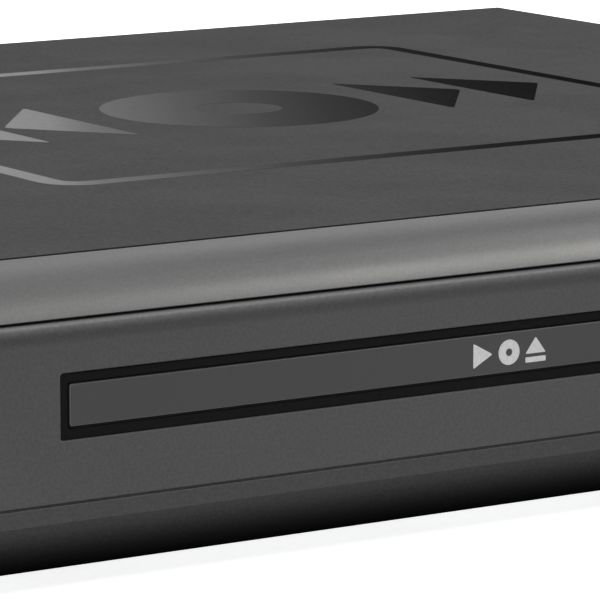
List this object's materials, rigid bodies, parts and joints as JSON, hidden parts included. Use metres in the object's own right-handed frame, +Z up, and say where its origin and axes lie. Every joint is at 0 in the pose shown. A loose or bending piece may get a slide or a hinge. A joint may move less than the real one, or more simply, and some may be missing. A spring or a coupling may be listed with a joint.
{
  "type": "disc player",
  "caption": "Compact disc player with a sliding tray, a convex trim strip, buttons, sockets and a complete loading mechanism inside.",
  "frame": {"origin": "middle of the overall box, on the surface that the feet stand on", "axes": "+X to the right seen from the front, +Y to the back, +Z up"},
  "size_m": [0.2274, 0.208, 0.0416],
  "materials": {
    "cover_paint": "matte dark grey powder coat",
    "chassis_steel": "zinc-plated",
    "rear_paint": "matte",
    "panel_plastic": "fine matte texture",
    "strip_plastic": "satin grey paint",
    "trim_plastic": "matte",
    "frame_plastic": "matte black",
    "door_plastic": "smooth satin",
    "window": "polished dark smoke",
    "light_pipe": "translucent red",
    "button_plastic": "satin",
    "foot_rubber": "matte",
    "dark_screw": "black zinc",
    "bright_screw": "plated",
    "loader_plastic": "moulded",
    "tray_plastic": "fine matte",
    "gear_plastic": "natural acetal",
    "brass": "turned",
    "shaft_steel": "ground",
    "belt_rubber": "matte",
    "motor_steel": "plated",
    "platform_metal": "plated",
    "turntable_plastic": "matte with rubber ring",
    "pickup_metal": "die cast",
    "lens_glass": "coated, clear",
    "clamper_plastic": "white",
    "magnet": "sintered",
    "board_green": "solder mask",
    "board_tan": "paper laminate",
    "chip_black": "matte epoxy",
    "winding": "taped winding",
    "capacitor": "sleeved",
    "sink_aluminium": "plain",
    "switch_white": "plain",
    "display_dark": "dark glassy",
    "wire_red": "vinyl",
    "ribbon_white": "flat cable",
    "socket_plastic": "coloured by socket",
    "socket_metal": "nickel",
    "inlet_black": "moulded"
  },
  "bodies": {
    "case": {"top_cover": "cover_paint", "bottom_chassis": "chassis_steel", "rear_panel": "rear_paint", "front_panel": "panel_plastic", "trim_strip": "strip_plastic", "lower_trim": "trim_plastic", "tray_frame": "frame_plastic", "display_window": "window", "standby_light": "light_pipe", "feet": "foot_rubber", "cover_screws": "dark_screw", "rear_screws": "dark_screw", "loader_frame": "loader_plastic", "loader_screws": "bright_screw", "drive_belt": "belt_rubber", "loader_motor": "motor_steel", "clamp_bridge": "chassis_steel", "main_board": "board_green", "main_chips": "chip_black", "power_board": "board_tan", "transformer": "winding", "power_capacitors": "capacitor", "heat_sink": "sink_aluminium", "socket_board": "board_green", "front_board": "board_green", "key_switches": "switch_white", "display_module": "display_dark", "power_cable": "wire_red", "front_ribbon": "ribbon_white", "phono_housings": "socket_plastic", "phono_sleeves": "socket_metal", "hdmi_socket": "socket_metal", "mains_inlet": "inlet_black"},
    "tray": {"tray": "tray_plastic", "tray_door": "door_plastic"},
    "tray_pinion": {"tray_pinion": "gear_plastic"},
    "pulley_gear": {"pulley_gear": "gear_plastic"},
    "motor_rotor": {"motor_pulley": "brass", "motor_shaft": "shaft_steel"},
    "cam_slider": {"cam_slider": "gear_plastic"},
    "drive_platform": {"drive_platform": "platform_metal", "spindle_motor": "motor_steel", "guide_rods": "shaft_steel", "feed_motor": "motor_steel"},
    "turntable": {"turntable": "turntable_plastic"},
    "lead_screw": {"lead_screw": "shaft_steel"},
    "pickup": {"optical_pickup": "pickup_metal"},
    "lens": {"objective_lens": "lens_glass"},
    "clamper": {"clamper": "clamper_plastic", "clamp_magnet": "magnet"},
    "power_button": {"power_button": "button_plastic"},
    "open_close_button": {"open_close_button": "button_plastic"},
    "play_button": {"play_button": "button_plastic"},
    "stop_button": {"stop_button": "button_plastic"}
  },
  "joints": [
    {"name": "tray_slide", "type": "slide", "parent": "case", "child": "tray", "axis": [0, -1, 0], "range_m": [0, 0.126]},
    {"name": "tray_pinion_spin", "type": "hinge", "parent": "case", "child": "tray_pinion", "pos_m": [0.022, -0.081, 0.011], "axis": [0, 0, 1], "range_deg": [-1032.3, 0]},
    {"name": "pulley_gear_spin", "type": "hinge", "parent": "case", "child": "pulley_gear", "pos_m": [0.0044, -0.081, 0.011], "axis": [0, 0, 1], "range_deg": [0, 2751.2]},
    {"name": "motor_rotor_spin", "type": "hinge", "parent": "case", "child": "motor_rotor", "pos_m": [-0.0226, -0.081, 0.015], "axis": [0, 0, 1], "range_deg": [0, 11629]},
    {"name": "cam_slide", "type": "slide", "parent": "case", "child": "cam_slider", "axis": [1, 0, 0], "range_m": [0, 0.014]},
    {"name": "platform_tilt", "type": "hinge", "parent": "case", "child": "drive_platform", "pos_m": [-0.028, 0.0619, 0.0125], "axis": [1, 0, 0], "range_deg": [0, 4.1]},
    {"name": "turntable_spin", "type": "hinge", "parent": "drive_platform", "child": "turntable", "pos_m": [-0.028, -0.0345, 0.0246], "axis": [0, 0, 1], "continuous": true},
    {"name": "clamper_spin", "type": "hinge", "parent": "case", "child": "clamper", "pos_m": [-0.028, -0.0345, 0.02955], "axis": [0, 0, 1], "continuous": true},
    {"name": "pickup_slide", "type": "slide", "parent": "drive_platform", "child": "pickup", "axis": [0, 1, 0], "range_m": [0, 0.035]},
    {"name": "lead_screw_spin", "type": "hinge", "parent": "drive_platform", "child": "lead_screw", "pos_m": [-0.06, 0.0055, 0.0173], "axis": [0, 1, 0], "range_deg": [0, 4201]},
    {"name": "lens_focus", "type": "slide", "parent": "pickup", "child": "lens", "axis": [0, 0, 1], "range_m": [-0.0003, 0.0003], "stiffness_N_per_m": 200},
    {"name": "power_button_press", "type": "slide", "parent": "case", "child": "power_button", "axis": [0, 1, 0], "range_m": [0, 0.0008], "stiffness_N_per_m": 400},
    {"name": "open_close_button_press", "type": "slide", "parent": "case", "child": "open_close_button", "axis": [0, 1, 0], "range_m": [0, 0.0008], "stiffness_N_per_m": 400},
    {"name": "play_button_press", "type": "slide", "parent": "case", "child": "play_button", "axis": [0, 1, 0], "range_m": [0, 0.0008], "stiffness_N_per_m": 400},
    {"name": "stop_button_press", "type": "slide", "parent": "case", "child": "stop_button", "axis": [0, 1, 0], "range_m": [0, 0.0008], "stiffness_N_per_m": 400}
  ],
  "couplings": [
    {"joint": "tray_pinion_spin", "follows": "tray_slide", "rad_per_m": -142.86},
    {"joint": "pulley_gear_spin", "follows": "tray_slide", "rad_per_m": 380.95},
    {"joint": "motor_rotor_spin", "follows": "tray_slide", "rad_per_m": 1610.7},
    {"joint": "platform_tilt", "follows": "cam_slide", "rad_per_m": 4.9867},
    {"joint": "clamper_spin", "follows": "turntable_spin", "ratio": 1},
    {"joint": "lead_screw_spin", "follows": "pickup_slide", "rad_per_m": 2094.4}
  ]
}
